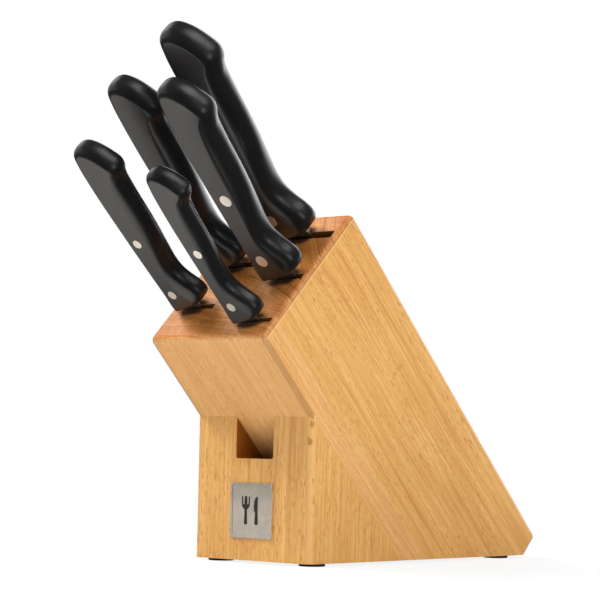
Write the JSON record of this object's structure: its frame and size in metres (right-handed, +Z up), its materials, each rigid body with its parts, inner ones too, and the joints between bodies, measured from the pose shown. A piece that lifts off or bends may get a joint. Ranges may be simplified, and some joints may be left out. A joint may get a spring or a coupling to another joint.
{
  "type": "knife block with knives",
  "caption": "Slanted beech knife block on a wedge foot with a front recess and badge, holding kitchen knives with black riveted handles in angled slots.",
  "frame": {"origin": "centre of the bounding box in X and Y with the knives in place, on the ground under the feet", "axes": "+Z up, -Y the front with the recess and badge, +X to the right seen from the front; handles point forwards and up"},
  "size_m": [0.0818, 0.2992, 0.27],
  "materials": {
    "beech_wood": "clear satin oil on steamed beech, grain along the slots in the boards and upright in the support",
    "badge_metal": "cast, speckled satin, with a brighter rim",
    "foot_rubber": "matte black",
    "blade_steel": "satin ground across the blade",
    "handle_plastic": "black, fine spark-eroded flanks and smoother satin rounds",
    "rivet_metal": "pale satin, ground flush"
  },
  "bodies": {
    "block": {"badge_plate": "badge_metal", "board_1": "beech_wood", "board_2": "beech_wood", "board_3": "beech_wood", "board_4": "beech_wood", "board_5": "beech_wood", "board_6": "beech_wood", "foot_back_left": "foot_rubber", "foot_back_right": "foot_rubber", "foot_front_left": "foot_rubber", "foot_front_right": "foot_rubber", "support_block": "beech_wood"},
    "paring_knife": {"paring_knife_blade": "blade_steel", "paring_knife_handle": "handle_plastic", "paring_knife_rivets": "rivet_metal"},
    "utility_knife": {"utility_knife_blade": "blade_steel", "utility_knife_handle": "handle_plastic", "utility_knife_rivets": "rivet_metal"},
    "carving_knife": {"carving_knife_blade": "blade_steel", "carving_knife_handle": "handle_plastic", "carving_knife_rivets": "rivet_metal"},
    "bread_knife": {"bread_knife_blade": "blade_steel", "bread_knife_handle": "handle_plastic", "bread_knife_rivets": "rivet_metal"},
    "chef_knife": {"chef_knife_blade": "blade_steel", "chef_knife_handle": "handle_plastic", "chef_knife_rivets": "rivet_metal"}
  },
  "joints": [
    {"name": "paring_knife_slide", "type": "slide", "parent": "block", "child": "paring_knife", "axis": [0, -0.7071, 0.7071], "range_m": [0, 0.098]},
    {"name": "utility_knife_slide", "type": "slide", "parent": "block", "child": "utility_knife", "axis": [0, -0.7071, 0.7071], "range_m": [0, 0.131]},
    {"name": "carving_knife_slide", "type": "slide", "parent": "block", "child": "carving_knife", "axis": [0, -0.7071, 0.7071], "range_m": [0, 0.17]},
    {"name": "bread_knife_slide", "type": "slide", "parent": "block", "child": "bread_knife", "axis": [0, -0.7071, 0.7071], "range_m": [0, 0.198]},
    {"name": "chef_knife_slide", "type": "slide", "parent": "block", "child": "chef_knife", "axis": [0, -0.7071, 0.7071], "range_m": [0, 0.211]}
  ]
}
